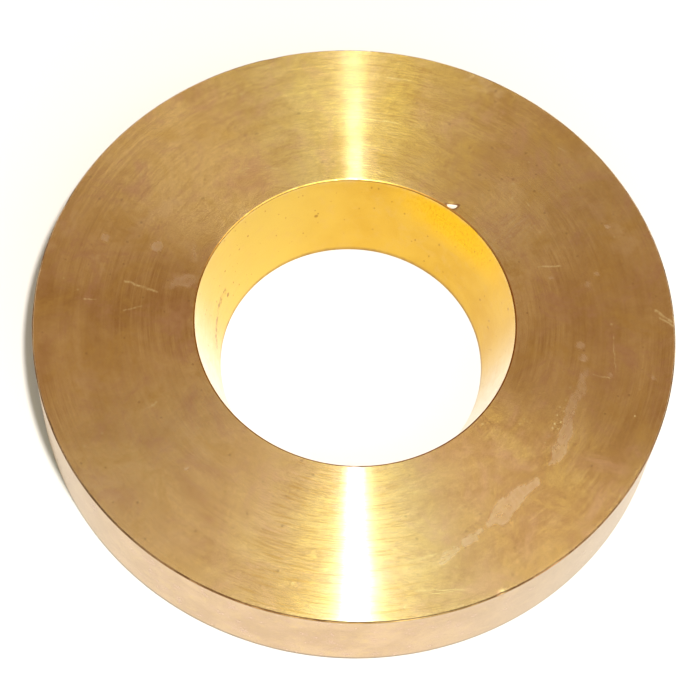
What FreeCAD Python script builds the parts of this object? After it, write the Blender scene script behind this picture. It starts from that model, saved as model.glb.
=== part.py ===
"""Bronze bushing: one flat ring with a straight tapered bore.

The ring is a single solid. A disc is bored to a taper, and its two outside
edges and two bore edges are lightly broken.

Frame: millimetres, +Z up along the bore axis. The origin is the centre of the
bottom face, where the bore is small. The bore widens upward to the top face,
at z = ring_height.
"""

import FreeCAD
import Part

import math
import os

import Sketcher

V = FreeCAD.Vector

# Meaning, alias, value in millimetres.
DIMENSIONS = [
    ("outside diameter of the ring", "outer_diameter", 75),
    ("axial height of the ring", "ring_height", 12),
    ("bore diameter at the top face", "bore_large_diameter", 37.5),
    ("bore diameter at the bottom face", "bore_small_diameter", 31.5),
    ("equal-leg break on the two outside edges", "outer_edge_break", 0.2),
    ("equal-leg break on the two bore edges", "bore_edge_break", 0.15),
]
EDGE_TOLERANCE = 1e-4  # mm, when matching an edge's centre and radius
VOLUME_TOLERANCE = 1e-3  # as a fraction of the expected volume

# Sketcher's numbers for the points of a piece of geometry, and for the origin.
START, END, CENTRE = 1, 2, 3
SKETCH_ORIGIN = (-1, 1)

doc = FreeCAD.newDocument("bushing")

# ---------------------------------------------------------------- dimensions
sheet = doc.addObject("Spreadsheet::Sheet", "dims")
for row, (meaning, alias, value) in enumerate(DIMENSIONS, start=1):
    sheet.set(f"A{row}", meaning)
    sheet.set(f"B{row}", str(value))
    sheet.setAlias(f"B{row}", alias)
doc.recompute()

# The same sizes as numbers, for drawing the sketches and finding the edges.
outer_radius = float(sheet.outer_diameter) / 2
large_radius = float(sheet.bore_large_diameter) / 2
small_radius = float(sheet.bore_small_diameter) / 2
height = float(sheet.ring_height)


# ------------------------------------------------------------------- helpers
def attached_sketch(body, name, role):
    """A sketch lying flat on the body's own origin plane with this role."""
    plane = next(
        feature for feature in body.Origin.OriginFeatures
        if getattr(feature, "Role", "") == role
    )
    sketch = body.newObject("Sketcher::SketchObject", name)
    sketch.AttachmentSupport = [(plane, "")]
    sketch.MapMode = "FlatFace"
    return sketch


def add_driven(sketch, name, constraint, expression):
    """Add a named constraint whose value follows the spreadsheet."""
    index = sketch.addConstraint(constraint)
    sketch.renameConstraint(index, name)
    sketch.setExpression(f"Constraints.{name}", expression)


def round_edges(shape, radius):
    """Names of the full circular edges centred on the axis with this radius."""
    names = []
    for number, edge in enumerate(shape.Edges, start=1):
        curve = edge.Curve
        if not isinstance(curve, Part.Circle) or not edge.isClosed():
            continue
        on_axis = math.hypot(curve.Center.x, curve.Center.y) < EDGE_TOLERANCE
        if on_axis and abs(curve.Radius - radius) < EDGE_TOLERANCE:
            names.append(f"Edge{number}")
    return names


def break_edges(body, name, base, radii, size_alias):
    """Chamfer the two round edges of base that have these radii."""
    edges = [edge for radius in radii for edge in round_edges(base.Shape, radius)]
    if len(edges) != 2:
        raise RuntimeError(f"{name}: expected 2 edges, found {edges}")
    chamfer = body.newObject("PartDesign::Chamfer", name)
    chamfer.Base = (base, edges)
    chamfer.setExpression("Size", f"dims.{size_alias}")
    doc.recompute()
    return chamfer


# ------------------------------------------------------------- ring features
def make_blank(body):
    """The solid disc, standing on the XY plane. Returns its sketch and pad."""
    sketch = attached_sketch(body, "disc_outline", "XY_Plane")
    sketch.addGeometry(Part.Circle(V(0, 0, 0), V(0, 0, 1), outer_radius), False)
    sketch.addConstraint(Sketcher.Constraint("Coincident", 0, CENTRE, *SKETCH_ORIGIN))
    diameter = Sketcher.Constraint("Diameter", 0, 2 * outer_radius)
    add_driven(sketch, "outside", diameter, "dims.outer_diameter")
    doc.recompute()

    pad = body.newObject("PartDesign::Pad", "turned_blank")
    pad.Profile = sketch
    pad.Type = "Length"
    pad.setExpression("Length", "dims.ring_height")
    sketch.Visibility = False
    doc.recompute()
    return sketch, pad


def cut_bore(body):
    """The tapered bore: a right trapezium in the XZ plane, swept round Z.

    Returns its sketch and groove.
    """
    sketch = attached_sketch(body, "bore_profile", "XZ_Plane")
    corners = [
        V(0, 0, 0),
        V(small_radius, 0, 0),
        V(large_radius, height, 0),
        V(0, height, 0),
    ]
    bottom, _taper, top, axis = sides = range(4)
    for side in sides:
        line = Part.LineSegment(corners[side], corners[(side + 1) % 4])
        sketch.addGeometry(line, False)
    for side in sides:
        sketch.addConstraint(
            Sketcher.Constraint("Coincident", side, END, (side + 1) % 4, START)
        )
    sketch.addConstraint(Sketcher.Constraint("Coincident", bottom, START, *SKETCH_ORIGIN))
    sketch.addConstraint(Sketcher.Constraint("Horizontal", bottom))
    sketch.addConstraint(Sketcher.Constraint("Horizontal", top))
    sketch.addConstraint(Sketcher.Constraint("Vertical", axis))

    # The top and axis sides are drawn toward the origin, so they measure from
    # END to START.
    for name, kind, side, first, second, size, expression in (
        ("small_radius", "DistanceX", bottom, START, END, small_radius,
         "dims.bore_small_diameter / 2"),
        ("large_radius", "DistanceX", top, END, START, large_radius,
         "dims.bore_large_diameter / 2"),
        ("depth", "DistanceY", axis, END, START, height, "dims.ring_height"),
    ):
        distance = Sketcher.Constraint(kind, side, first, side, second, size)
        add_driven(sketch, name, distance, expression)
    doc.recompute()

    groove = body.newObject("PartDesign::Groove", "tapered_bore")
    groove.Profile = sketch
    groove.ReferenceAxis = (sketch, ["V_Axis"])
    groove.Angle = 360.0
    sketch.Visibility = False
    doc.recompute()
    return sketch, groove


# ---------------------------------------------------------------------- ring
ring = doc.addObject("PartDesign::Body", "bushing_ring")
ring.Label = "bushing_ring"
doc.recompute()

disc_sketch, blank = make_blank(ring)
bore_sketch, bored = cut_bore(ring)
outer_break = break_edges(
    ring, "outside_edges_broken", bored, [outer_radius], "outer_edge_break"
)
bore_break = break_edges(
    ring, "bore_edges_broken", outer_break, [large_radius, small_radius], "bore_edge_break"
)
ring.Tip = bore_break
doc.recompute()

# -------------------------------------------------------------------- checks
for item in doc.Objects:
    bad = [flag for flag in item.State if flag in ("Invalid", "Error")]
    if bad:
        raise RuntimeError(f"{item.Name} is {bad}")
for sketch in (disc_sketch, bore_sketch):
    if sketch.solve() != 0 or not sketch.FullyConstrained:
        raise RuntimeError(f"{sketch.Name} is not fully constrained")

disc_volume = math.pi * outer_radius**2 * height
# The bore is a frustum, a cone cut off at its small end.
bore_volume = (
    math.pi * height / 3
    * (large_radius**2 + large_radius * small_radius + small_radius**2)
)
for name, volume, expected in (
    ("blank", blank.Shape.Volume, disc_volume),
    ("bore", blank.Shape.Volume - bored.Shape.Volume, bore_volume),
):
    if abs(volume - expected) > VOLUME_TOLERANCE * expected:
        raise RuntimeError(f"the {name} has volume {volume}, not {expected}")
for before, after in ((bored, outer_break), (outer_break, bore_break)):
    if not after.Shape.Volume < before.Shape.Volume:
        raise RuntimeError(f"{after.Name} took nothing off")

if ring.Shape.isNull() or not ring.Shape.isValid():
    raise RuntimeError(f"{ring.Label} has no valid shape")
if len(ring.Shape.Solids) != 1:
    raise RuntimeError(f"{ring.Label} is not one solid")

# -------------------------------------------------------------------- export
os.makedirs("parts", exist_ok=True)
ring.Shape.exportStep(f"parts/{ring.Label}.step")
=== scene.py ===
"""A turned bronze bushing ring with a slightly tapered bore, lying on a pale floor.

The ring's axis is Z and its base is at z = 0. The camera looks down from the front (-Y),
so +X is right and +Y is back. Azimuths are in degrees from +X towards +Y.
"""

import math
from functools import cached_property, reduce
from itertools import groupby

import bpy
import numpy as np
from mathutils import Matrix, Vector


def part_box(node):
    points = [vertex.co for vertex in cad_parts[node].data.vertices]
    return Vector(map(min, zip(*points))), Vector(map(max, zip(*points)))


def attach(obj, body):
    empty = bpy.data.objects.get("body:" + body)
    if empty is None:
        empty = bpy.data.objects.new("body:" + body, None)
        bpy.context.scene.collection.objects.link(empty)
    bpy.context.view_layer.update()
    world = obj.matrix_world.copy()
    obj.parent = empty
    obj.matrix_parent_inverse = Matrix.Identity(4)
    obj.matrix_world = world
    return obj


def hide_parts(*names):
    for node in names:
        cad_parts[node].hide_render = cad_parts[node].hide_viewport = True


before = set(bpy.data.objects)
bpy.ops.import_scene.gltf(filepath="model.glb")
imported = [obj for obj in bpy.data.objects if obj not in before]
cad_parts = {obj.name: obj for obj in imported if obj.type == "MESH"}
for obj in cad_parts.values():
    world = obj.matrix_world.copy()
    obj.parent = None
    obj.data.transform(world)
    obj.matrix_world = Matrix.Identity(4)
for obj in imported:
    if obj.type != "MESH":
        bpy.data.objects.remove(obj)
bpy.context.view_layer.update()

NODE = "bushing_ring"

# ------------------------------------------------------------------ sizes from the CAD node
SNAP = 1e-6
cad_points = np.array([v.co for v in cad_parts[NODE].data.vertices], float)
cad_radius = np.hypot(cad_points[:, 0], cad_points[:, 1])
cad_z = cad_points[:, 2]
_, cad_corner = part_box(NODE)
HEIGHT = cad_corner.z
OUT_R = cad_radius.max()
on_top = cad_z > HEIGHT - SNAP
on_base = cad_z < SNAP
TOP_IN, TOP_OUT = cad_radius[on_top].min(), cad_radius[on_top].max()
BASE_IN, BASE_OUT = cad_radius[on_base].min(), cad_radius[on_base].max()
in_bore = (cad_radius < (TOP_IN + OUT_R) / 2) & ~on_top & ~on_base
BORE_TOP_Z, BORE_BASE_Z = cad_z[in_bore].max(), cad_z[in_bore].min()
BORE_TOP_R = cad_radius[in_bore & (cad_z > BORE_TOP_Z - SNAP)].mean()
BORE_BASE_R = cad_radius[in_bore & (cad_z < BORE_BASE_Z + SNAP)].mean()
OUT_BREAK = OUT_R - TOP_OUT
BORE_BREAK = TOP_IN - BORE_TOP_R

# Small marks and textures are laid out in fiftieths of the outside radius.
UNIT = OUT_R / 50.0


def link_object(name, data):
    obj = bpy.data.objects.new(name, data)
    bpy.context.scene.collection.objects.link(obj)
    return obj


# ------------------------------------------------------------------ azimuth stations
COARSE_STEP = 0.5
# Finer steps where a mark has been struck: from, to, step, all in degrees.
FINE_STEPS = [
    (55.0, 61.0, 0.08), (298.0, 302.8, 0.10), (108.0, 113.5, 0.14), (160.0, 164.0, 0.14),
]
stations = []
station = 0.0
while station < 360.0 - 1e-6:
    stations.append(station)
    step = COARSE_STEP
    for first, last, fine_step in FINE_STEPS:
        if first - 1e-9 <= station < last:
            step = fine_step
    station += step
around = np.radians(np.array(stations))
n_around = len(around)

# ------------------------------------------------------------------ section of the ring
# Points (r, z), counter-clockwise: outward along the base, up the outside wall,
# inward along the top face and down the bore.
section, regions = [], []


def add(region, points):
    section.extend(points)
    regions.extend([region] * len(points))


def rounded(start, corner, end, count):
    """The points inside a quadratic arc that rounds a corner."""
    t = np.linspace(0, 1, count)[:, None]
    start, corner, end = (np.array(p, float) for p in (start, corner, end))
    return ((1 - t) ** 2 * start + 2 * t * (1 - t) * corner + t**2 * end)[1:-1]


def between(start, end, count, crowd=1.0):
    """Points strictly between two others, crowded towards both ends."""
    t = np.linspace(0, 1, count + 2)[1:-1]
    t = t + crowd * 0.13 * (-np.sin(2 * np.pi * t))
    return start + (end - start) * t[:, None]


def straight(region, start, end, inset, count):
    """A straight side with one tight row just inside each end."""
    near_start, near_end = start + inset, end - inset
    inside = between(near_start, near_end, count)
    add(region, [start, near_start, *inside, near_end, end])


TIGHT = 0.03 * UNIT
out_round, bore_round = 0.30 * OUT_BREAK, 0.30 * BORE_BREAK
bore_lean = (BORE_TOP_R - BORE_BASE_R) / (BORE_TOP_Z - BORE_BASE_Z)
base_in, base_out = np.array([(BASE_IN, 0.0), (BASE_OUT, 0.0)])
wall_low, wall_high = np.array([(OUT_R, OUT_BREAK), (OUT_R, HEIGHT - OUT_BREAK)])
top_out, top_in = np.array([(TOP_OUT, HEIGHT), (TOP_IN, HEIGHT)])
bore_high, bore_low = np.array([(BORE_TOP_R, BORE_TOP_Z), (BORE_BASE_R, BORE_BASE_Z)])
# The top face has closer rows in this much of it beside the bore.
near_bore = np.array((TOP_IN + 2.4 * UNIT, HEIGHT))
top_inset = np.array((-TIGHT, 0.0))

straight("base", base_in, base_out, np.array((TIGHT, 0.0)), count=3)
add("edge", rounded(base_out, (OUT_R - out_round, out_round), wall_low, 6))
straight("wall", wall_low, wall_high, np.array((0.0, TIGHT)), count=5)
add("edge", rounded(wall_high, (OUT_R - out_round, HEIGHT - out_round), top_out, 7))
add("top", [
    top_out, top_out + top_inset,
    *between(top_out + top_inset, near_bore, 54, crowd=0.0), near_bore,
    *between(near_bore, top_in - top_inset, 9, crowd=0.4), top_in - top_inset, top_in,
])
add("lip", rounded(top_in, (BORE_TOP_R + bore_round, HEIGHT - bore_round), bore_high, 7))
straight("bore", bore_high, bore_low, np.array((-TIGHT * bore_lean, -TIGHT)), count=7)
add("lip", rounded(bore_low, (BORE_BASE_R, bore_round), base_in, 5))
section = np.array(section)
n_rows = len(section)

radius = np.repeat(section[:, 0][:, None], n_around, 1)
height = np.repeat(section[:, 1][:, None], n_around, 1)
azimuth = np.repeat(around[None, :], n_rows, 0)


# ------------------------------------------------------------------ hand-broken edges
def wander(lowest, highest, seed):
    """A closed smooth random function of azimuth, about -1 to 1."""
    random = np.random.default_rng(seed)
    out = np.zeros_like(around)
    for k in range(lowest, highest):
        size = random.normal() / math.sqrt(k)
        out += size * np.cos(k * around + random.uniform(0, 2 * np.pi))
    return out / (np.abs(out).max() + 1e-9)


def edge_rows(upper):
    return [k for k in range(n_rows)
            if regions[k] == "edge" and (section[k, 1] > HEIGHT / 2) == upper]


# The width of each outside break wanders. Points only move inward, into the metal.
rim = edge_rows(upper=True)
rim = [rim[0] - 1, *rim, rim[-1] + 1]
slow = 0.5 + 0.5 * wander(3, 60, seed=11)
deep = (0.02 + 0.09 * slow + 0.05 * wander(60, 170, seed=12).clip(0, 1)) * UNIT
for k, share in zip(rim, np.sin(np.linspace(0, np.pi, len(rim)))):
    radius[k] -= deep * share * 0.7
    height[k] -= deep * share * 0.7
rim = edge_rows(upper=False)
slow = 0.5 + 0.5 * wander(3, 60, seed=13)
for k, share in zip(rim, np.sin(np.linspace(0.5, np.pi - 0.5, len(rim)))):
    radius[k] -= (0.02 + 0.07 * slow) * UNIT * share
    height[k] += (0.02 + 0.07 * slow) * UNIT * share

# ------------------------------------------------------------------ struck marks
# Azimuth, r, z, length, width across, depth, direction of the push in (r, z).
DENTS = [
    (57.6, BORE_TOP_R + 0.75 * UNIT, HEIGHT, 0.75 * UNIT, 0.50 * UNIT, 0.16 * UNIT, (0.0, -1.0)),
    (300.4, OUT_R, HEIGHT, 0.60 * UNIT, 0.45 * UNIT, 0.24 * UNIT, (-0.7, -0.7)),
    (110.6, OUT_R, HEIGHT, 1.6 * UNIT, 0.42 * UNIT, 0.14 * UNIT, (-0.7, -0.7)),
    (162.0, OUT_R, HEIGHT, 1.3 * UNIT, 0.40 * UNIT, 0.12 * UNIT, (-0.7, -0.7)),
]


def turn_from(centre):
    """Degrees from an azimuth to every point, -180 to 180."""
    return (np.degrees(azimuth) - centre + 180) % 360 - 180


def dent(centre, r, z, length, across, depth, push):
    """How far, in r and z, a dent moves every point."""
    arc = turn_from(centre) * np.pi / 180 * r
    far = (arc / length) ** 2 + ((radius - r) ** 2 + (height - z) ** 2) / across**2
    fall = np.exp(-far * 1.5) * depth
    return fall * push[0], fall * push[1]


for shift_r, shift_z in [dent(*row) for row in DENTS]:
    radius += shift_r
    height += shift_z

# ------------------------------------------------------------------ mesh
X = radius * np.cos(azimuth)
Y = radius * np.sin(azimuth)
verts = np.stack([X, Y, height], 2).reshape(-1, 3)
row, col = np.meshgrid(np.arange(n_rows), np.arange(n_around), indexing="ij")
next_row, next_col = (row + 1) % n_rows, (col + 1) % n_around
quads = np.stack([
    row * n_around + col, row * n_around + next_col,
    next_row * n_around + next_col, next_row * n_around + col,
], 2).reshape(-1, 4)

mesh = bpy.data.meshes.new("bushing_ring_turned")
mesh.from_pydata(verts.tolist(), [], quads.tolist())
mesh.validate()
mesh.update()

# A quad that touches an edge or a lip row belongs to that edge or lip.
SLOTS = ["top", "wall", "bore", "edge", "lip", "base"]
quad_regions = []
for pair in zip(regions, regions[1:] + regions[:1]):
    quad_regions.append("edge" if "edge" in pair else "lip" if "lip" in pair else pair[0])
slots = np.repeat([SLOTS.index(name) for name in quad_regions], n_around).astype(np.int32)
mesh.polygons.foreach_set("material_index", slots)
mesh.polygons.foreach_set("use_smooth", np.ones(len(quads), bool))

# The UV map has one straight strip for each turned surface: lowest and highest v.
STRIPS = {
    "top": [(0.005, 0.400)], "base": [(0.410, 0.640)],
    "wall": [(0.650, 0.800)], "bore": [(0.810, 0.965)],
    "edge": [(0.970, 0.977), (0.980, 0.987)], "lip": [(0.990, 0.993), (0.9955, 0.9985)],
}
v_low, v_high = np.zeros(n_rows), np.zeros(n_rows)
for name, group in groupby(range(n_rows), key=lambda k: quad_regions[k]):
    rows = list(group)
    start, end = STRIPS[name].pop(0)
    lengths = [float(np.hypot(*(section[(k + 1) % n_rows] - section[k]))) for k in rows]
    v = start + (end - start) * (np.concatenate([[0], np.cumsum(lengths)]) / sum(lengths))
    v_low[rows], v_high[rows] = v[:-1], v[1:]
u = np.concatenate([around, [2 * np.pi]]) / (2 * np.pi) * 0.99 + 0.005
uv = np.zeros((n_rows, n_around, 4, 2), np.float32)
uv[:, :, 0, 0] = uv[:, :, 3, 0] = u[:-1]
uv[:, :, 1, 0] = uv[:, :, 2, 0] = u[1:]
uv[:, :, 0, 1] = uv[:, :, 1, 1] = v_low[:, None]
uv[:, :, 2, 1] = uv[:, :, 3, 1] = v_high[:, None]
mesh.uv_layers.new(name="OFBake").data.foreach_set("uv", uv.ravel())

# ------------------------------------------------------------------ marks on the top face
# All in UNITs, seen from above, x right and y back.
# A dried run of liquid: the strength of each part, and its points (x, y, half width).
RUN = [
    (1.00, [(36.2, -5.1, 0.17), (35.8, -6.9, 0.60), (35.3, -8.9, 0.87), (34.5, -11.5, 0.70),
            (33.7, -14.6, 0.77), (33.2, -17.0, 1.08), (32.6, -19.3, 1.23), (32.0, -20.8, 0.60),
            (31.2, -21.7, 0.20)]),
    (0.90, [(29.5, -24.2, 0.33), (28.7, -25.5, 0.93), (27.1, -27.3, 1.00), (25.4, -29.2, 1.47),
            (24.3, -30.7, 1.43), (23.3, -31.9, 0.67), (22.6, -32.8, 0.27)]),
    (0.95, [(21.9, -33.6, 0.23), (20.7, -34.7, 0.73), (19.5, -35.7, 0.60)]),
    (0.85, [(-28.9, 2.0, 0.10), (-28.2, 3.2, 0.70), (-27.1, 3.6, 1.00), (-26.5, 3.8, 0.90)]),
    (0.55, [(-26.2, 9.9, 0.35), (-25.7, 7.9, 0.30)]),
    (0.75, [(18.2, -36.7, 0.60), (17.1, -37.8, 0.93), (16.2, -38.9, 0.40)]),
]
# Round dried spots: x, y, radius.
SPOTS = [
    (-40.5, 10.0, 0.72), (-32.2, 9.3, 0.90), (35.2, -1.0, 0.60), (35.8, -3.2, 0.66),
    (37.2, 12.0, 0.42), (36.0, 9.9, 0.42), (40.1, -5.6, 0.38), (46.7, -5.4, 0.32),
    (30.2, 10.4, 0.35), (-23.1, -28.1, 0.35), (38.6, 20.6, 0.40),
]
# Soft patches: start, end, reach, strength.
PALE = [
    ((-28.6, 3.7), (-26.4, 3.6), 1.3, 0.5),
    ((-27.2, 9.8), (-26.2, 8.2), 1.4, 0.6), ((-36.4, 11.4), (-30.6, 17.6), 1.7, 0.75),
    ((-36.8, 8.6), (-36.2, 12.0), 1.5, 0.5), ((-45.7, 14.2), (-46.4, 10.0), 1.1, 0.65),
    ((-48.4, 12.0), (-48.8, 7.4), 0.9, 0.7), ((39.8, 19.6), (41.4, 17.6), 2.2, 0.6),
    ((36.6, 24.6), (38.6, 22.6), 1.9, 0.5), ((-36.0, -31.0), (-33.6, -32.4), 2.2, 0.5),
    ((-24.6, -39.8), (-22.6, -40.8), 2.4, 0.45), ((14.5, 46.4), (19.7, 44.4), 1.2, 0.8),
    ((-40.9, 7.4), (-41.0, 4.4), 0.6, 0.7), ((-40.6, -12.6), (-39.2, -16.8), 1.9, 0.5),
    ((-26.0, -20.0), (-20.8, -26.2), 1.8, 0.4), ((17.6, 28.4), (23.4, 25.8), 1.6, 0.35),
]
GOLD = [
    ((23.2, -17.4), (27.6, -20.6), 2.2, 0.75), ((30.6, -23.4), (34.8, -24.2), 2.0, 0.45),
    ((-12.6, 43.0), (-10.6, 30.6), 2.4, 0.45), ((-9.6, 43.2), (-8.2, 32.4), 1.5, 0.4),
]
# Darker patches. The first, along the rim at the back right, is painted shade.
DARK_AND_SHADE = [
    ((25.2, 41.6), (34.0, 35.2), 1.5, 0.9), ((-46.8, -9.6), (-46.2, -16.4), 1.6, 0.7),
    ((-38.4, -31.0), (-36.2, -33.4), 1.5, 0.5), ((28.4, -12.0), (31.0, -17.2), 2.0, 0.6),
    ((-34.6, 14.6), (-37.6, 10.8), 1.1, 0.45), ((-30.0, 0.2), (-26.2, -1.0), 2.0, 0.9),
    ((-20.8, 21.2), (-16.6, 24.2), 1.8, 0.5), ((43.6, -14.0), (40.2, -22.0), 2.2, 0.35),
    ((-24.0, -29.8), (-17.4, -34.8), 2.2, 0.4),
]
RUBBED = [((21.0, 15.4), (25.0, 20.6), 3.0, 1.0), ((21.5, 26.0), (24.8, 21.8), 1.6, 0.6)]
# Fine bright scratches: start, end, half width.
SCRATCHES = [
    ((-36.2, 2.6), (-31.2, 1.3), 0.22), ((-35.8, -2.5), (-33.3, -1.4), 0.13),
    ((-42.2, -1.1), (-40.4, -1.1), 0.12), ((27.8, 12.2), (31.6, 12.8), 0.13),
    ((46.7, 6.4), (49.2, 4.7), 0.24), ((47.4, 5.2), (49.4, 4.0), 0.20),
    ((12.6, -43.9), (19.8, -43.0), 0.10), ((14.0, -44.4), (18.0, -43.5), 0.08),
    ((1.4, 44.9), (5.6, 44.7), 0.09), ((-1.4, 36.5), (4.1, 36.3), 0.08),
    ((-16.7, 25.6), (-14.5, 25.4), 0.10), ((-20.6, 24.4), (-19.3, 25.2), 0.12),
    ((-19.7, 44.4), (-17.8, 44.8), 0.08), ((25.6, 24.2), (25.9, 23.2), 0.12),
    ((11.0, -39.6), (15.4, -37.8), 0.07), ((37.4, -5.9), (40.0, -6.1), 0.08),
    ((30.2, 34.6), (31.4, 33.9), 0.10), ((-2.4, 27.4), (0.6, 28.0), 0.06),
    ((40.2, 1.4), (40.8, -5.2), 0.06), ((-28.8, -17.6), (-31.0, -19.4), 0.07),
]
# Bright dots: x, y, radius.
SPARKS = [
    (33.9, -8.4, 0.10), (33.3, -10.6, 0.10), (32.5, -11.9, 0.12), (32.1, -13.3, 0.13),
    (31.8, -14.8, 0.18), (32.7, -14.4, 0.14), (31.5, -15.5, 0.16), (31.0, -16.9, 0.12),
    (30.5, -18.1, 0.11), (27.1, -14.5, 0.12), (26.5, -15.4, 0.10), (27.6, -14.8, 0.10),
    (33.1, -12.5, 0.09), (32.3, -15.6, 0.12), (44.0, -12.2, 0.14),
]
SLIVER = (13.65, 21.70, 0.0)
HOLE = (-12.4, 36.4, 0.0)
# How much more or less tarnished the face is, every 15 degrees of azimuth from 0. The steps hold
# painted light and shade as well as tarnish.
TARNISH_AND_SHADE = [
    0.05, -0.05, -0.16, -0.05, 0.19, 0.24, 0.20, 0.14, 0.12, -0.25, -0.15, -0.37,
    0.33, 0.0, -0.22, -0.30, -0.20, 0.28, 0.26, 0.32, 0.20, 0.46, 0.54, 0.02,
]

# The stains are kept on the vertices as amounts. A seeded smooth noise shifts the
# places they are read at, so their borders are uneven.
face_x, face_y = X / UNIT, Y / UNIT


def ease(t):
    t = np.clip(t, 0.0, 1.0)
    return t * t * (3 - 2 * t)


def blotches(scale, seed):
    """Smooth seeded noise over the face, about -1 to 1."""
    cells = 256
    out, weight, total = np.zeros_like(face_x), 1.0, 0.0
    for octave in range(4):
        grid = np.random.default_rng(seed + 17 * octave).uniform(-1, 1, (cells, cells))
        x = face_x * scale * 2**octave + 100.3
        y = face_y * scale * 2**octave + 57.7
        ix, iy = np.floor(x).astype(int), np.floor(y).astype(int)
        fx, fy = ease(x - ix), ease(y - iy)
        x0, x1, y0, y1 = ix % cells, (ix + 1) % cells, iy % cells, (iy + 1) % cells
        near = grid[x0, y0] * (1 - fx) + grid[x1, y0] * fx
        far = grid[x0, y1] * (1 - fx) + grid[x1, y1] * fx
        out += weight * (near * (1 - fy) + far * fy)
        total += weight
        weight *= 0.55
    return out / total


jitter_x, jitter_y = blotches(0.55, seed=101), blotches(0.55, seed=202)


def shaken(jitter):
    return face_x + jitter * jitter_x, face_y + jitter * jitter_y


def to_line(x, y, start, end):
    """Distance to the line from start to end, and how far along it, 0 to 1."""
    along_x, along_y = end[0] - start[0], end[1] - start[1]
    t = ((x - start[0]) * along_x + (y - start[1]) * along_y) / (along_x**2 + along_y**2)
    t = np.clip(t, 0, 1)
    return np.hypot(x - start[0] - t * along_x, y - start[1] - t * along_y), t


def feather(patches, jitter):
    """Soft-edged patches."""
    out = np.zeros_like(face_x)
    for start, end, reach, strength in patches:
        far, _ = to_line(*shaken(jitter), start, end)
        out = np.maximum(out, strength * ease((reach - far) / (reach * 0.85)))
    return out


def film(outside):
    """A dried film: strongest just inside its border, weaker within, nothing outside."""
    return ease((0.14 - outside) / 0.34) * (1.0 - 0.35 * ease((-outside - 0.16) / 0.5))


def dried_film():
    x, y = shaken(0.35)
    out = 1.2 * film(np.min([np.hypot(x - cx, y - cy) - r for cx, cy, r in SPOTS], axis=0))
    for strength, chain in RUN:
        for start, end in zip(chain, chain[1:]):
            far, t = to_line(*shaken(0.7), start, end)
            outside = far - (start[2] + t * (end[2] - start[2]))
            out = np.maximum(out, strength * film(outside))
    return out * (0.75 + 0.25 * ease(blotches(0.9, seed=303) * 2.0 + 0.5))


def hump(offset, width):
    return np.exp(-((offset / width) ** 2))


def tarnish_shade_band():
    """The tarnish round the face, with painted light and shade by azimuth, changed near the bore
    on three sides.
    """
    degrees = np.degrees(azimuth)
    out_from_axis = np.hypot(face_x, face_y)
    turned_by = (degrees + 9.0 * blotches(0.12, seed=404)) % 360.0
    table = [TARNISH_AND_SHADE[-1]] + TARNISH_AND_SHADE + TARNISH_AND_SHADE[:2]
    tarnish_shade = np.interp(turned_by, np.arange(-15, 376, 15), table)
    sides = hump(degrees - 55, 22) + 0.6 * hump(degrees - 205, 22)
    tarnish_shade += 0.45 * sides * ease((out_from_axis - 25.5 + 3 * jitter_x) / 16.0) - 0.25 * sides
    near = 1 - ease((out_from_axis - 26.0 + 2 * jitter_x) / 8.0)
    tarnish_shade -= 0.60 * hump(turn_from(18), 20) * near
    return tarnish_shade


on_face = (np.array(regions) == "top")[:, None]
for name, amount in (
    ("dried", dried_film()), ("pale", feather(PALE, jitter=2.6)),
    ("warm", feather(GOLD, jitter=2.6)), ("dark_and_shade", feather(DARK_AND_SHADE, jitter=2.2)),
    ("rubbed", feather(RUBBED, jitter=2.2)), ("tarnish_shade", tarnish_shade_band()),
):
    layer = mesh.attributes.new(name=name, type="FLOAT", domain="POINT")
    layer.data.foreach_set("value", (amount * on_face).astype(np.float32).ravel())

ring = link_object("bushing_ring_turned", mesh)


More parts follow.
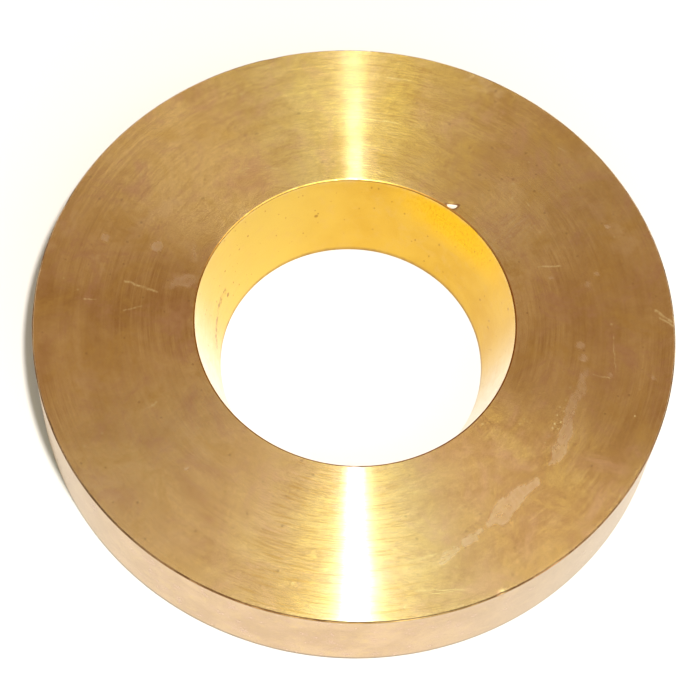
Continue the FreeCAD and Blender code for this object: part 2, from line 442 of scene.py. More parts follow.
# ------------------------------------------------------------------ node trees
class Graph:
    """A short way to write a node tree. Any value may be a number or a socket."""

    def __init__(self, tree, seed=0.0):
        self.tree = tree
        self.seed = seed
        tree.nodes.clear()

    def put(self, socket, value):
        if isinstance(value, bpy.types.NodeSocket):
            self.tree.links.new(value, socket)
        else:
            socket.default_value = value

    def node(self, kind, inputs={}, **settings):
        node = self.tree.nodes.new("ShaderNode" + kind)
        for key, value in settings.items():
            setattr(node, key, value)
        for key, value in inputs.items():
            self.put(node.inputs[key], value)
        return node

    def math(self, operation, *values):
        return self.node("Math", dict(enumerate(values)), operation=operation).outputs[0]

    def add(self, *values):
        return reduce(lambda a, b: self.math("ADD", a, b), values)

    def mul(self, *values):
        return reduce(lambda a, b: self.math("MULTIPLY", a, b), values)

    def sub(self, value, less):
        return self.math("SUBTRACT", value, less)

    def least(self, values):
        return reduce(lambda a, b: self.math("MINIMUM", a, b), values)

    def most(self, value, other):
        return self.math("MAXIMUM", value, other)

    def ramp(self, value, over, to, kind="SMOOTHSTEP"):
        """Goes from to[0] to to[1] while the value goes from over[0] to over[1]."""
        inputs = {"Value": value, "From Min": over[0], "From Max": over[1],
                  "To Min": to[0], "To Max": to[1]}
        return self.node("MapRange", inputs, interpolation_type=kind).outputs["Result"]

    def rise(self, value, over, peak=1.0):
        return self.ramp(value, over, to=(0.0, peak))

    def fall(self, value, over, peak=1.0):
        return self.ramp(value, over, to=(peak, 0.0))

    def vector(self, operation, *values):
        """Vector maths. The result is a number for a dot product or a distance."""
        node = self.node("VectorMath", dict(enumerate(values)), operation=operation)
        return node.outputs["Value" if operation in ("DOT_PRODUCT", "DISTANCE") else "Vector"]

    def scaled(self, vector, scale):
        inputs = {0: vector, "Scale": scale}
        return self.node("VectorMath", inputs, operation="SCALE").outputs["Vector"]

    def xyz(self, x, y, z):
        return self.node("CombineXYZ", {0: x, 1: y, 2: z}).outputs[0]

    def mix(self, share, start, end):
        """Mixes two colours, each a socket or three numbers."""
        start, end = ((*c, 1.0) if isinstance(c, tuple) else c for c in (start, end))
        return self.node("Mix", {0: share, 6: start, 7: end}, data_type="RGBA").outputs[2]

    # Places, each built when it is first asked for.
    @cached_property
    def position(self):
        return self.node("TexCoord").outputs["Object"]

    @cached_property
    def axes(self):
        return tuple(self.node("SeparateXYZ", {0: self.position}).outputs)

    @cached_property
    def radius(self):
        x, y, _ = self.axes
        return self.math("SQRT", self.add(self.mul(x, x), self.mul(y, y)))

    @cached_property
    def cos(self):
        """Cosine of the azimuth: 1 at the right."""
        return self.math("DIVIDE", self.axes[0], self.radius)

    @cached_property
    def sin(self):
        """Sine of the azimuth: 1 at the back."""
        return self.math("DIVIDE", self.axes[1], self.radius)

    @cached_property
    def place(self):
        """The position in UNITs, as are out and up."""
        return self.scaled(self.position, 1.0 / UNIT)

    @cached_property
    def out(self):
        return self.mul(self.radius, 1.0 / UNIT)

    @cached_property
    def up(self):
        return self.mul(self.axes[2], 1.0 / UNIT)

    def noise(self, place, scale, detail, rough, distort=0.0, pick=None, flat=False,
              output="Fac"):
        """Noise. pick chooses one of many, and flat reads only x and y."""
        if pick is not None:
            which = self.seed + pick
            offset = tuple(step * which / scale for step in (17.3, 9.1, 5.7))
            place = self.vector("ADD", place, offset)
        inputs = {"Vector": place, "Scale": scale, "Detail": detail, "Roughness": rough,
                  "Distortion": distort}
        dimensions = "2D" if flat else "3D"
        return self.node("TexNoise", inputs, noise_dimensions=dimensions).outputs[output]

    def arcs(self, along, across, detail, rough, pick, coord=None):
        """Noise drawn out round the axis: slow along the turning marks, fast across."""
        coord = self.out if coord is None else coord
        swept = self.xyz(self.mul(self.cos, along), self.mul(self.sin, along),
                         self.mul(coord, across))
        return self.noise(swept, scale=1.0, detail=detail, rough=rough, pick=pick)

    def wave(self, noise, gain):
        """A noise value made to swing about 0 with a spread near gain."""
        return self.math("MULTIPLY_ADD", noise, gain / 0.13, -0.5 * gain / 0.13)

    def shake(self, place, amount, scale, detail, rough, flat=False):
        """A place moved about by noise in x and y."""
        bend = self.noise(self.place, scale, detail, rough, flat=flat, output="Color")
        bend = self.vector("SUBTRACT", bend, (0.5, 0.5, 0.5))
        return self.vector("ADD", place, self.vector("MULTIPLY", bend, (amount, amount, 0.0)))

    def to_segment(self, place, start, end):
        """Distance from a place to the line from start to end."""
        along = (end[0] - start[0], end[1] - start[1], 0.0)
        square = along[0] ** 2 + along[1] ** 2
        offset = self.vector("SUBTRACT", place, (start[0], start[1], 0.0))
        t = self.vector("DOT_PRODUCT", offset, (along[0] / square, along[1] / square, 0.0))
        t = self.most(self.math("MINIMUM", t, 1.0), 0.0)
        return self.vector("DISTANCE", offset, self.scaled(along, t))

    def to_dots(self, place, dots):
        """Distance to the nearest of (centre, radius) dots, as a share of its radius."""
        return self.least(
            self.math("DIVIDE", self.vector("DISTANCE", place, centre), r) for centre, r in dots
        )

    def to_rims(self, coord, low, high):
        return self.math("MINIMUM", self.sub(high, coord), self.sub(coord, low))

    def specks(self, place, scale, share, size, pick):
        """Sparse round specks: 1 inside, 0 outside. share of the cells hold one."""
        which = self.seed + pick
        place = self.vector("ADD", place, (13.7 * which, 7.9 * which, 0.0))
        inputs = {"Vector": place, "Scale": scale, "Randomness": 0.9}
        cells = self.node("TexVoronoi", inputs, voronoi_dimensions="2D").outputs
        chance = self.node("SeparateColor", {0: cells["Color"]}).outputs
        here = self.math("LESS_THAN", chance[0], share)
        speck_r = self.math("MULTIPLY_ADD", chance[1], size * 0.9, size * 0.45)
        far = self.math("DIVIDE", cells["Distance"], speck_r)
        return self.mul(self.fall(far, over=(0.6, 1.2)), here)

    def amount(self, name):
        """A value kept on the vertices."""
        return self.node("Attribute", attribute_name=name).outputs["Fac"]

    def lean(self, across, along, level=True):
        """The normal leaned across and along the turning marks of a level or upright side."""
        normal = self.node("NewGeometry").outputs["Normal"]
        outward = self.xyz(self.cos, self.sin, 0.0) if level else (0.0, 0.0, 1.0)
        tangent = self.xyz(self.mul(self.sin, -1.0), self.cos, 0.0)
        normal = self.vector("ADD", normal, self.scaled(outward, across))
        normal = self.vector("ADD", normal, self.scaled(tangent, along))
        return self.vector("NORMALIZE", normal)


class Material(Graph):
    """A material with one Principled shader."""

    def __init__(self, name, seed=0.0):
        self.material = bpy.data.materials.new(name)
        self.material.use_nodes = True
        super().__init__(self.material.node_tree, seed)
        self.shader = self.node("BsdfPrincipled")
        self.node("OutputMaterial", {"Surface": self.shader.outputs[0]})

    def shade(self, name, value):
        self.put(self.shader.inputs[name], value)

    def tint(self, amount, to, strength=None):
        """Takes the colour towards another by an amount."""
        if strength is not None:
            amount = self.mul(amount, strength)
        self.colour = self.mix(amount, self.colour, to)

    def bump(self, height, distance, **normal):
        node = self.node("Bump", {"Height": height, "Distance": distance, **normal})
        self.shade("Normal", node.outputs[0])


def turned_metal(name, seed, spread):
    """Starts a metal whose gloss spreads across the turning marks."""
    g = Material(name, seed)
    g.shade("Metallic", 1.0)
    g.shade("Anisotropic", spread)
    g.shade("Anisotropic Rotation", 0.25)
    g.shade("Tangent", g.node("Tangent", direction_type="RADIAL", axis="Z").outputs[0])
    return g


# ------------------------------------------------------------------ turned faces
def hatching(g, flat_place):
    """Fine hatching rubbed across the turning marks in one place."""
    angle, across, along = 0.9, 3.2, 0.2
    steep = (math.sin(angle) * across, -math.cos(angle) * across, 0.0)
    slow = (math.cos(angle) * along, math.sin(angle) * along, 0.0)
    x, y = (g.vector("DOT_PRODUCT", flat_place, axis) for axis in (steep, slow))
    hatch = g.noise(g.xyz(x, y, 0.0), scale=1.0, detail=2.0, rough=0.5, pick=30.0, flat=True)
    hatch = g.mul(g.most(g.wave(hatch, gain=1.0), 0.0), g.amount("rubbed"))
    g.tint(hatch, to=(1.0, 0.84, 0.46), strength=0.30)


def scratches(g, flat_place, grain):
    place = g.shake(flat_place, amount=0.5, scale=0.9, detail=2.0, rough=0.6, flat=True)
    line = g.least(
        g.math("DIVIDE", g.to_segment(place, start, end), width)
        for start, end, width in SCRATCHES
    )
    return g.mul(g.fall(line, over=(0.2, 1.5)), g.ramp(grain, over=(0.40, 0.60), to=(0.35, 1.0)))


def glinting_sliver(g, flat_place, metal):
    """A curved sliver of bare metal beside the bore, painted near white for its glint, with a
    dark outline.
    """
    half_length, half_width, curve = 0.92, 0.40, 0.45
    place = g.vector("SUBTRACT", flat_place, SLIVER)
    x = g.vector("DOT_PRODUCT", place, (1 / half_length, 0.0, 0.0))
    y = g.vector("DOT_PRODUCT", place, (0.0, 1 / half_width, 0.0))
    y = g.sub(y, g.mul(x, x, curve))
    far = g.math("SQRT", g.add(g.mul(x, x), g.mul(y, y)))
    outline = g.mul(g.rise(far, over=(0.85, 1.05)), g.fall(far, over=(1.20, 1.55)))
    bare_and_glint = g.fall(far, over=(0.80, 1.0))
    g.tint(outline, to=(0.42, 0.20, 0.10), strength=0.75)
    # Painted highlight: the bare metal is tinted near white and made less metallic, standing for
    # its glint.
    g.tint(bare_and_glint, to=(1.0, 0.93, 0.80))
    return g.sub(metal, g.mul(bare_and_glint, 0.30))


def face(name, seed, marked):
    """A turned face. The marked one reads the amounts kept on the vertices."""
    g = turned_metal(name, seed, spread=1.0)
    cloud = g.noise(g.place, scale=0.065, detail=8.0, rough=0.70, distort=0.5, pick=0, flat=True)
    grain = g.noise(g.place, scale=0.80, detail=4.0, rough=0.72, pick=0.7, flat=True)
    wide = g.arcs(along=2.6, across=0.42, detail=4.0, rough=0.66, pick=1)
    arcs = g.arcs(along=4.0, across=2.1, detail=2.0, rough=0.6, pick=2)
    fine = g.arcs(along=4.0, across=4.2, detail=1.0, rough=0.5, pick=3)
    hair = g.arcs(along=3.0, across=4.2, detail=1.0, rough=0.5, pick=4)
    sand = g.arcs(along=12.0, across=4.6, detail=1.0, rough=0.5, pick=9)
    where = g.noise(g.place, scale=0.05, detail=2.0, rough=0.5, pick=5, flat=True)
    # Arcs of tarnish stand out in some places and are rubbed off in others.
    arc_amount = g.mul(g.ramp(where, over=(0.40, 0.62), to=(0.40, 1.45)),
                       g.add(g.mul(g.cos, g.cos, 1.2), 0.40))
    tarnish_and_shade = g.add(
        g.amount("tarnish_shade") if marked else 0.0,
        g.wave(cloud, gain=0.23), g.wave(grain, gain=0.085), g.wave(wide, gain=0.14),
        g.mul(g.add(g.wave(arcs, gain=0.060), g.wave(fine, gain=0.050)), arc_amount),
        g.wave(sand, gain=0.020), 0.46,
    )
    # From gold to brown, by tarnish and by the painted light and shade of the band.
    g.colour = g.mix(tarnish_and_shade, (1.0, 0.790, 0.325), (0.700, 0.468, 0.155))
    # The tint wanders slowly between reddish and greenish.
    hue = g.noise(g.place, scale=0.12, detail=7.0, rough=0.76, distort=0.4, pick=6, flat=True)
    g.tint(g.rise(hue, over=(0.48, 0.70), peak=0.80), to=(0.835, 0.575, 0.290))
    g.tint(g.fall(hue, over=(0.30, 0.52), peak=0.80), to=(0.865, 0.635, 0.195))
    # Painted light colour: a little duller at the front, and a little yellower at the back where
    # the highlight streak falls.
    g.tint(g.fall(g.sin, over=(-0.98, -0.50), peak=0.22), to=(0.90, 0.68, 0.50))
    g.tint(g.rise(g.sin, over=(0.94, 0.998), peak=0.12), to=(1.0, 0.77, 0.12))
    # Painted shade in the highlight: short darker strokes are tinted only where the highlight
    # streak falls in this view.
    highlight_zone = g.most(g.fall(g.sin, over=(-0.985, -0.93)), g.rise(g.sin, over=(0.95, 0.99)))
    highlight_strokes = g.mul(highlight_zone, g.rise(sand, over=(0.50, 0.68), peak=0.62))
    g.tint(highlight_strokes, to=(0.72, 0.46, 0.12))
    metal = g.ramp(grain, over=(0.35, 0.65), to=(1.0, 0.985))
    rough = g.ramp(g.add(g.mul(arcs, 0.6), g.mul(cloud, 0.4)),
                   over=(0.32, 0.68), to=(0.238, 0.262), kind="LINEAR")
    # The back is worn a little smoother.
    rough = g.mul(rough, g.ramp(g.sin, over=(0.90, 0.985), to=(1.0, 0.86)))
    pit = g.specks(g.place, scale=0.55, share=0.10, size=0.11, pick=7)
    spark = g.specks(g.place, scale=0.42, share=0.07, size=0.075, pick=8)
    # Relief: the grain, with pits sunk deep and sparks less so.
    relief = g.add(grain, g.mul(pit, -7.0), g.mul(spark, -2.4))
    if marked:
        dried, pale, warm, dark_and_shade = (g.amount(n) for n in ("dried", "pale", "warm", "dark_and_shade"))
        clear = g.sub(1.0, dried)
        pit, spark = g.mul(pit, clear), g.mul(spark, clear)
        g.tint(dark_and_shade, to=(0.68, 0.43, 0.15), strength=0.45)
        g.tint(warm, to=(1.0, 0.80, 0.28), strength=0.50)
        g.tint(pale, to=(0.97, 0.76, 0.40), strength=0.50)
        g.tint(dried, to=(0.96, 0.755, 0.475), strength=0.60)
        # Stains are slightly less metallic, and the dried film is rougher.
        metal = g.sub(metal, g.add(g.mul(dried, 0.026), g.mul(pale, 0.012)))
        rough = g.add(rough, g.mul(dried, 0.05))
        flat_place = g.vector("MULTIPLY", g.place, (1.0, 1.0, 0.0))
        hatching(g, flat_place)
        dots = g.to_dots(flat_place, [((x, y, 0.0), r) for x, y, r in SPARKS])
        glow = g.fall(dots, over=(0.6, 1.3))
        bright = g.most(scratches(g, flat_place, grain), glow)
        metal = g.sub(metal, g.mul(glow, 0.06))
        hole = g.fall(g.vector("DISTANCE", flat_place, HOLE), over=(0.14, 0.40))
        pit = g.most(pit, hole)
        spark = g.most(g.mul(spark, 0.6), bright)
    g.tint(pit, to=(0.42, 0.26, 0.09), strength=0.38)
    g.tint(spark, to=(1.0, 0.86, 0.42), strength=0.70)
    metal = g.sub(metal, g.mul(spark, 0.045))
    if marked:
        metal = glinting_sliver(g, flat_place, metal)
    # Wear: a little paler where the face meets its edges.
    rim_far = g.to_rims(g.out, low=TOP_IN / UNIT, high=TOP_OUT / UNIT)
    worn = g.mul(g.fall(rim_far, over=(0.0, 0.9)), g.rise(grain, over=(0.40, 0.62)))
    g.tint(worn, to=(1.0, 0.80, 0.40), strength=0.30)
    g.shade("Base Color", g.colour)
    g.shade("Metallic", metal)
    g.shade("Roughness", rough)
    # Each turn of the tool leaves a groove, and each groove carries much finer ones.
    groove_pitch, micro_pitch = 0.465, 0.083
    wobbling = g.add(g.out, g.wave(wide, gain=0.06))
    groove = g.math("SINE", g.mul(wobbling, 2 * math.pi / groove_pitch))
    micro = g.math("SINE", g.mul(g.out, 2 * math.pi / micro_pitch))
    leaned = g.lean(
        across=g.add(g.mul(micro, 0.36), g.mul(groove, 0.012),
                     g.wave(fine, gain=0.006), g.wave(arcs, gain=0.004)),
        along=g.add(g.wave(hair, gain=0.0014), g.mul(groove, 0.0012)),
    )
    g.bump(relief, distance=0.0004 * UNIT, Normal=leaned)
    return g.material


# ------------------------------------------------------------------ outside wall
def wall(name, seed):
    g = turned_metal(name, seed, spread=0.5)
    blot = g.noise(g.place, scale=0.16, detail=6.0, rough=0.62, distort=0.4, pick=0)
    small_blot = g.noise(g.place, scale=0.50, detail=5.0, rough=0.74, distort=0.2, pick=1)
    lines = g.arcs(along=9.0, across=3.4, detail=3.0, rough=0.6, pick=2, coord=g.up)
    fine = g.arcs(along=22.0, across=7.0, detail=2.0, rough=0.5, pick=3, coord=g.up)
    scuff = g.arcs(along=130.0, across=0.7, detail=2.0, rough=0.55, pick=4, coord=g.up)
    g.colour = g.mix(g.rise(blot, over=(0.34, 0.66)),
                     (0.595, 0.420, 0.238), (0.495, 0.335, 0.178))
    g.tint(g.rise(small_blot, over=(0.50, 0.70), peak=0.75), to=(0.575, 0.385, 0.280))
    g.tint(g.fall(small_blot, over=(0.30, 0.48), peak=0.65), to=(0.620, 0.445, 0.185))
    # Pits lie on the unrolled wall, with its seam at the right.
    angle = g.math("ARCTAN2", g.axes[1], g.mul(g.axes[0], -1.0))
    unrolled = g.xyz(g.mul(angle, OUT_R / UNIT), g.up, 0.0)
    pit = g.specks(unrolled, scale=0.50, share=0.09, size=0.10, pick=5)
    # Short upright ticks, mostly low down.
    tick = g.mul(g.rise(scuff, over=(0.60, 0.74)), g.ramp(g.up, over=(1.2, 5.0), to=(1.0, 0.15)))
    g.tint(pit, to=(0.42, 0.28, 0.14), strength=0.60)
    g.tint(tick, to=(0.40, 0.25, 0.13), strength=0.60)
    foot = OUT_BREAK / UNIT
    rim_far = g.to_rims(g.up, low=foot, high=(HEIGHT - OUT_BREAK) / UNIT)
    worn = g.mul(g.fall(rim_far, over=(0.0, 1.3)), g.rise(small_blot, over=(0.42, 0.60)))
    g.tint(worn, to=(0.64, 0.48, 0.30), strength=0.35)
    # Painted shade: darker at the foot, where the wall meets the floor.
    low = g.mul(g.fall(g.up, over=(foot + 0.25, foot + 0.80)),
                g.ramp(blot, over=(0.30, 0.60), to=(0.9, 0.55)))
    g.tint(low, to=(0.26, 0.19, 0.14))
    # Painted shade: the wall is duller and greyer at the right, and a little so at the far left.
    g.tint(g.rise(g.cos, over=(0.15, 0.85), peak=0.65), to=(0.40, 0.31, 0.21))
    g.tint(g.fall(g.cos, over=(-0.90, -0.45), peak=0.30), to=(0.42, 0.33, 0.24))
    g.shade("Base Color", g.colour)
    g.shade("Metallic", g.ramp(small_blot, over=(0.35, 0.65), to=(1.0, 0.975)))
    g.shade("Roughness", g.ramp(small_blot, over=(0.3, 0.7), to=(0.23, 0.28), kind="LINEAR"))
    leaned = g.lean(
        across=g.add(g.wave(lines, gain=0.004), g.wave(fine, gain=0.004)),
        along=g.wave(scuff, gain=0.005), level=False,
    )
    g.bump(g.add(small_blot, g.mul(pit, -0.6)), distance=0.0015 * UNIT, Normal=leaned)
    return g.material


# ------------------------------------------------------------------ bore
# Pits: azimuth in degrees, depth as a share of the height, radius in UNITs.
BORE_PITS = [
    (110.1, 0.46, 0.34), (109.2, 0.43, 0.16), (28.5, 0.63, 0.22), (12.8, 0.15, 0.26),
    (18.0, 0.62, 0.20), (16.5, 0.68, 0.20), (6.1, 0.69, 0.18), (140.4, 0.28, 0.20),
    (156.3, 0.39, 0.20), (61.3, 0.86, 0.16), (159.6, 0.69, 0.42), (172.4, 0.68, 0.38),
    (178.4, 0.75, 0.40), (167.0, 0.61, 0.36),
]
# A crack: azimuth, depth as a share of the height.
BORE_CRACK = [
    (159.6, 0.60), (163.0, 0.60), (167.0, 0.62), (170.0, 0.65), (173.0, 0.69),
    (178.4, 0.76), (182.0, 0.82),
]
BORE_MEAN_R = (BORE_TOP_R + BORE_BASE_R) / 2 / UNIT


def bore_spot(degrees, depth):
    """A point on the unrolled bore: distance round it and height, in UNITs."""
    return (math.radians(degrees) * BORE_MEAN_R, HEIGHT / UNIT * (1 - depth), 0.0)


def bore_marks(g, unrolled):
    """Pits and a broken-up crack."""
    long_cells = g.vector("MULTIPLY", unrolled, (1.0, 0.6, 0.0))
    pit = g.most(g.specks(unrolled, scale=0.42, share=0.24, size=0.055, pick=7),
                 g.specks(long_cells, scale=0.95, share=0.08, size=0.11, pick=8))
    named = g.to_dots(unrolled, [(bore_spot(turn, depth), r) for turn, depth, r in BORE_PITS])
    pit = g.most(g.mul(pit, 0.90), g.fall(named, over=(0.60, 1.20)))
    jagged = g.shake(unrolled, amount=1.3, scale=2.2, detail=3.0, rough=0.7)
    track = g.least(
        g.to_segment(jagged, bore_spot(*start), bore_spot(*end))
        for start, end in zip(BORE_CRACK, BORE_CRACK[1:])
    )
    gaps = g.noise(g.place, scale=1.3, detail=2.0, rough=0.6, pick=9)
    crack = g.mul(g.fall(track, over=(0.20, 0.60)),
                  g.ramp(gaps, over=(0.44, 0.54), to=(0.15, 1.0)))
    return g.most(pit, g.mul(crack, 0.85))


def bore(name, seed):
    g = turned_metal(name, seed, spread=0.5)
    # The bore is unrolled with its seam at the front.
    angle = g.math("ARCTAN2", g.axes[1], g.axes[0])
    angle = g.add(angle, g.mul(g.math("LESS_THAN", angle, -math.pi / 2), 2 * math.pi))
    unrolled = g.xyz(g.mul(angle, BORE_MEAN_R), g.up, 0.0)
    blot = g.noise(g.place, scale=0.14, detail=6.0, rough=0.60, distort=0.4, pick=0)
    small_blot = g.noise(g.place, scale=0.55, detail=5.0, rough=0.66, distort=0.3, pick=1)
    lines = g.arcs(along=4.0, across=3.0, detail=3.0, rough=0.6, pick=2, coord=g.up)
    fine = g.arcs(along=10.0, across=8.0, detail=2.0, rough=0.5, pick=3, coord=g.up)
    g.colour = g.mix(g.rise(blot, over=(0.34, 0.66)),
                     (0.700, 0.445, 0.066), (0.640, 0.385, 0.050))
    # Painted reflected light: the left side is paler and less golden, where it mirrors a
    # brighter floor.
    left_reflected_light = g.fall(g.cos, over=(-0.75, 0.10))
    g.tint(left_reflected_light, to=(0.715, 0.520, 0.118), strength=0.75)
    g.tint(g.rise(small_blot, over=(0.48, 0.72), peak=0.40), to=(0.675, 0.440, 0.13))
    # A rough, deeper coloured patch, twice as long as high, high on the right of the back.
    x, y, _ = bore_spot(50, 0.2)
    patch = g.vector("ADD", unrolled, g.scaled(g.xyz(small_blot, lines, 0.0), 3.0))
    patch = g.vector("MULTIPLY", patch, (0.50, 1.0, 0.0))
    patch = g.vector("DISTANCE", patch, (x * 0.50 + 1.1, y + 2.6, 0.0))
    amber = g.fall(patch, over=(1.8, 7.0))
    grainy = g.noise(g.vector("MULTIPLY", unrolled, (4.6, 1.3, 0.0)),
                     scale=1.0, detail=3.0, rough=0.6, distort=0.2, pick=6)
    g.tint(amber, to=(0.88, 0.530, 0.006), strength=0.80)
    g.tint(g.mul(amber, g.rise(grainy, over=(0.48, 0.64), peak=0.65)), to=(0.62, 0.330, 0.010))
    mark = bore_marks(g, unrolled)
    foot = BORE_BREAK / UNIT
    # Painted shade: darker at the foot of the bore, where it meets the floor.
    low = g.mul(g.fall(g.up, over=(foot + 0.15, foot + 0.75)),
                g.ramp(small_blot, over=(0.30, 0.60), to=(0.9, 0.5)))
    g.tint(low, to=(0.33, 0.19, 0.07))
    rim_far = g.sub(BORE_TOP_Z / UNIT, g.up)
    worn = g.mul(g.fall(rim_far, over=(0.0, 0.8)), g.rise(small_blot, over=(0.40, 0.60)))
    g.tint(worn, to=(0.74, 0.54, 0.25), strength=0.40)
    # Painted sheen: seen along the surface, the colour is whitened as by reflection, a little
    # more at the right.
    facing = g.node("LayerWeight").outputs["Facing"]
    grazing_sheen = g.mul(g.rise(facing, over=(0.64, 0.93), peak=0.55),
                 g.ramp(small_blot, over=(0.36, 0.62), to=(1.10, 0.70)))
    right = g.rise(g.cos, over=(-0.20, 0.50))
    grazing_sheen = g.mul(grazing_sheen, g.add(g.mul(right, 0.13), 1.0))
    g.tint(grazing_sheen, to=g.mix(right, (1.0, 0.96, 0.86), (0.97, 1.0, 0.84)))
    g.tint(mark, to=(0.38, 0.20, 0.04), strength=0.85)
    g.shade("Base Color", g.colour)
    rough = g.ramp(lines, over=(0.3, 0.7), to=(0.14, 0.20), kind="LINEAR")
    g.shade("Roughness", g.add(rough, g.mul(amber, 0.08)))
    leaned = g.lean(
        across=g.add(g.wave(lines, gain=0.012), g.wave(fine, gain=0.012)),
        along=g.add(g.wave(fine, gain=0.004), g.mul(g.wave(grainy, gain=0.03), amber)),
        level=False,
    )
    relief = g.add(g.mul(small_blot, 0.7), g.mul(mark, -3.0))
    g.bump(relief, distance=0.004 * UNIT, Normal=leaned)
    return g.material


# ------------------------------------------------------------------ broken edges
def broken(name, seed, light, deep, shine, rough, front_shade=None):
    """A broken edge. Given a front colour, it is darkened at the front with painted shade;
    without one it is redder at the right.
    """
    g = turned_metal(name, seed, spread=0.4)
    blot = g.noise(g.place, scale=0.5, detail=5.0, rough=0.66, distort=0.3, pick=0)
    lines = g.arcs(along=12.0, across=5.0, detail=3.0, rough=0.6, pick=1,
                   coord=g.add(g.up, g.out))
    g.colour = g.mix(g.rise(blot, over=(0.36, 0.64)), light, deep)
    # The edge is polished bright in places.
    polish = g.noise(g.place, scale=0.35, detail=6.0, rough=0.7, distort=0.5, pick=2)
    polish = g.rise(polish, over=(0.56, 0.68))
    g.tint(polish, to=shine, strength=0.6)
    if front_shade is None:
        g.tint(g.rise(g.cos, over=(0.22, 0.62), peak=0.80), to=(0.52, 0.215, 0.035))
    else:
        # Painted shade: the edge is darkened at the front and left lighter at the back.
        g.tint(g.ramp(g.sin, over=(-0.55, 0.20), to=(0.95, 0.10)),
               to=g.mix(g.rise(blot, over=(0.40, 0.62)), front_shade, deep))
    # Painted shade: darker low down, where the ring meets the floor.
    g.tint(g.fall(g.up, over=(1.0, 2.0), peak=0.80), to=(0.26, 0.150, 0.070))
    g.shade("Base Color", g.colour)
    rough = g.ramp(lines, over=(0.3, 0.7), to=(rough - 0.04, rough + 0.05), kind="LINEAR")
    g.shade("Roughness", g.sub(rough, g.mul(polish, 0.08)))
    g.bump(g.add(blot, g.mul(lines, 0.6)), distance=0.010 * UNIT)
    return g.material


materials = {
    "top": face("turned_face", seed=3.0, marked=True),
    "base": face("turned_face_below", seed=9.0, marked=False),
    "wall": wall("turned_wall", seed=5.0),
    "bore": bore("bored_taper", seed=7.0),
    "edge": broken(
        "broken_edge", seed=8.0, light=(0.66, 0.45, 0.22), deep=(0.44, 0.26, 0.110),
        shine=(0.88, 0.69, 0.40), rough=0.26, front_shade=(0.37, 0.205, 0.080),
    ),
    "lip": broken(
        "bore_lip", seed=8.5, light=(0.80, 0.48, 0.12), deep=(0.62, 0.34, 0.07),
        shine=(1.0, 0.78, 0.38), rough=0.22,
    ),
}
for name in SLOTS:
    mesh.materials.append(materials[name])

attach(ring, "root")
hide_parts(NODE)

# ------------------------------------------------------------------ floor
# A disc of rings round a centre point, just below the base.
FLOOR_Z = -0.00002
FLOOR_SIDES = 96
FLOOR_RADII = [0.02, 0.06, 0.12, 0.25, 0.5, 1.0, 2.0, 4.0]
turns = np.linspace(0, 2 * np.pi, FLOOR_SIDES, endpoint=False)
floor_verts = [(0.0, 0.0, FLOOR_Z)]
for r in FLOOR_RADII:
    floor_verts += [(r * math.cos(t), r * math.sin(t), FLOOR_Z) for t in turns]
sides = [(j, (j + 1) % FLOOR_SIDES) for j in range(FLOOR_SIDES)]
floor_faces = [(0, 1 + j, 1 + k) for j, k in sides]
for i in range(len(FLOOR_RADII) - 1):
    inner = 1 + i * FLOOR_SIDES
    outer = inner + FLOOR_SIDES
    floor_faces += [(inner + j, outer + j, outer + k, inner + k) for j, k in sides]
floor_mesh = bpy.data.meshes.new("floor")
floor_mesh.from_pydata(floor_verts, [], floor_faces)
floor_mesh.update()
floor = link_object("floor", floor_mesh)


def floor_paper():
    """Matt paper. Its distances are in metres."""
    g = Material("floor_paper")
    # Painted reflected light: near the ring the paper is warmer, standing for light bounced off
    # the bronze.
    g.shade("Base Color", g.mix(g.rise(g.radius, over=(0.042, 0.078)),
                                (0.46, 0.435, 0.405), (0.46, 0.445, 0.450)))
    g.shade("Roughness", 0.9)
    g.shade("Specular IOR Level", 0.0)
    g.shade("Emission Color", (1, 1, 1, 1.0))
    # Outwards it brightens to white. In the hole it gains light on the left.
    glow = g.mul(g.fall(g.axes[0], over=(-0.018, -0.002), peak=0.20),
                 g.fall(g.radius, over=(0.016, 0.020)))
    g.shade("Emission Strength", g.add(g.rise(g.radius, over=(0.055, 0.40), peak=0.9), glow))
    g.material.cycles.emission_sampling = "NONE"
    return g.material


floor_mesh.materials.append(floor_paper())


# ------------------------------------------------------------------ camera
def set_axes(obj, x, y, z, place):
    rows = [[x[i], y[i], z[i], place[i]] for i in range(3)]
    obj.matrix_world = Matrix(rows + [[0, 0, 0, 1]])


CAMERA_PLACE = np.array([0.0, -3.2333 * OUT_R, 6.2251 * OUT_R + HEIGHT])
CAMERA_RIGHT = (0.9954, 0.0859, 0.0419)
CAMERA_BACK = (0.0010, -0.4482, 0.8939)
camera_data = bpy.data.cameras.new("camera")
camera = link_object("camera", camera_data)
camera_data.sensor_width = 36.0
camera_data.lens = 116.016
camera_data.clip_start = 0.01
camera_data.clip_end = 50.0
right = np.array(CAMERA_RIGHT) / np.linalg.norm(CAMERA_RIGHT)
back = np.array(CAMERA_BACK)
back = back - right * (back @ right)
back /= np.linalg.norm(back)
up = np.cross(back, right)
set_axes(camera, right, up, back, CAMERA_PLACE)
bpy.context.scene.camera = camera

# ------------------------------------------------------------------ lamps
# One soft lamp beside and above the lens. Its light on the floor and its glint on
# the metal are set apart, so that both can be as bright as they should be.
LAMP_PLACE = CAMERA_PLACE + OUT_R * (0.59 * right + 0.93 * up)
LAMP_SIZE = 0.44 * OUT_R


def lamp(name, size, radiance, colour=(1, 1, 1)):
    """A disc aimed at the origin. Its power is the radiance over the full lamp size."""
    data = bpy.data.lights.new(name, "AREA")
    data.shape = "DISK"
    data.size = size
    data.energy = radiance * math.pi * math.pi * (LAMP_SIZE / 2) ** 2
    data.color = colour
    obj = link_object(name, data)
    z = LAMP_PLACE / np.linalg.norm(LAMP_PLACE)
    x = np.cross((0, 0, 1), z)
    x /= np.linalg.norm(x)
    set_axes(obj, x, np.cross(z, x), z, LAMP_PLACE)
    obj.visible_camera = False
    return obj


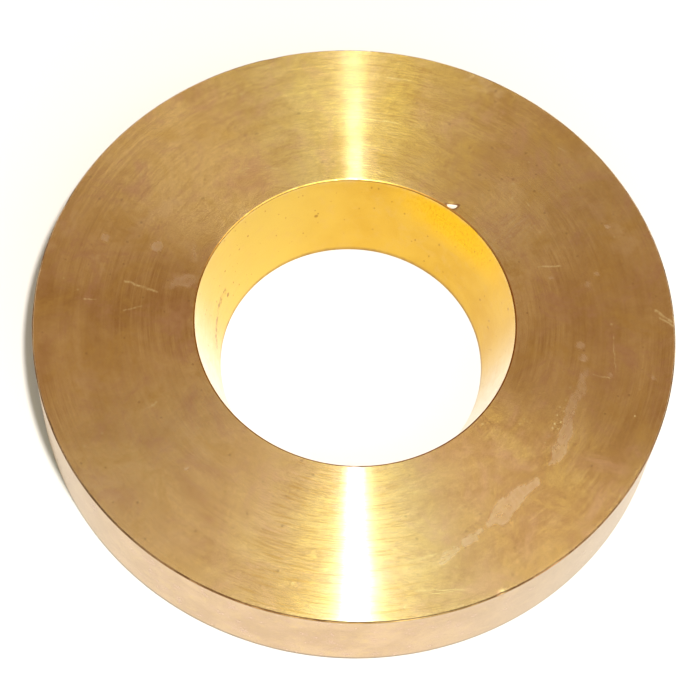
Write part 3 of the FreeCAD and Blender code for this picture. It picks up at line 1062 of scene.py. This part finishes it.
lamp("lamp_for_floor", LAMP_SIZE, radiance=2300.0).visible_glossy = False
glint = lamp("lamp_glint", 0.58 * LAMP_SIZE, radiance=385.0, colour=(0.50, 0.60, 1.0))
glint.visible_diffuse = False


# ------------------------------------------------------------------ world
def upward(x, y):
    """The upward unit vector with this x and y."""
    return (x, y, math.sqrt(1 - x * x - y * y))


# Soft lights as seen from the ring: direction, degrees within which each is full,
# degrees beyond which it is gone, colour and brightness.
SOFT_LIGHTS = [
    ((0, -0.46, 0.887), 5, 50, (0.66, 0.60, 0.46)),
    ((0.03, -0.40, 0.90), 4, 30, (1.15, 1.50, 1.48)),
    ((0.05, -0.38, 0.92), 2, 14, (2.20, 2.35, 0.28)),
    ((0.05, -0.38, 0.92), 0.5, 4, (0.60, 1.70, 7.00)),
    (upward(0.74, -0.2), 4, 28, (2.10, 2.10, 2.12)),
    (upward(0.3, -0.65), 4, 30, (1.05, 1.60, 1.45)),
    (upward(-0.75, -0.3), 4, 30, (0.20, 0.40, 0.60)),
]
world = bpy.data.worlds.new("studio")
bpy.context.scene.world = world
world.use_nodes = True
w = Graph(world.node_tree)
ray = tuple(w.node("SeparateXYZ", {0: w.node("TexCoord").outputs["Generated"]}).outputs)
# The ceiling brightens upwards. The soft lights are added to it.
light = w.scaled((0.415, 0.268, 0.205), w.ramp(ray[2], over=(0.10, 0.55), to=(0.28, 1.0)))
for direction, full, gone, colour in SOFT_LIGHTS:
    unit = np.array(direction, float)
    unit /= np.linalg.norm(unit)
    cosine = w.add(*(w.mul(part, float(share)) for part, share in zip(ray, unit)))
    lobe = w.rise(cosine, over=(math.cos(math.radians(gone)), math.cos(math.radians(full))))
    light = w.vector("ADD", light, w.scaled(colour, lobe))
# The camera itself sees plain white.
seen = w.mix(w.node("LightPath").outputs["Is Camera Ray"], light, (1.0, 1.0, 1.0))
background = w.node("Background", {"Color": seen})
w.node("OutputWorld", {"Surface": background.outputs[0]})

view = bpy.context.scene.view_settings
view.view_transform = "Standard"
view.look = "None"
view.exposure = 0.0
view.gamma = 1.0
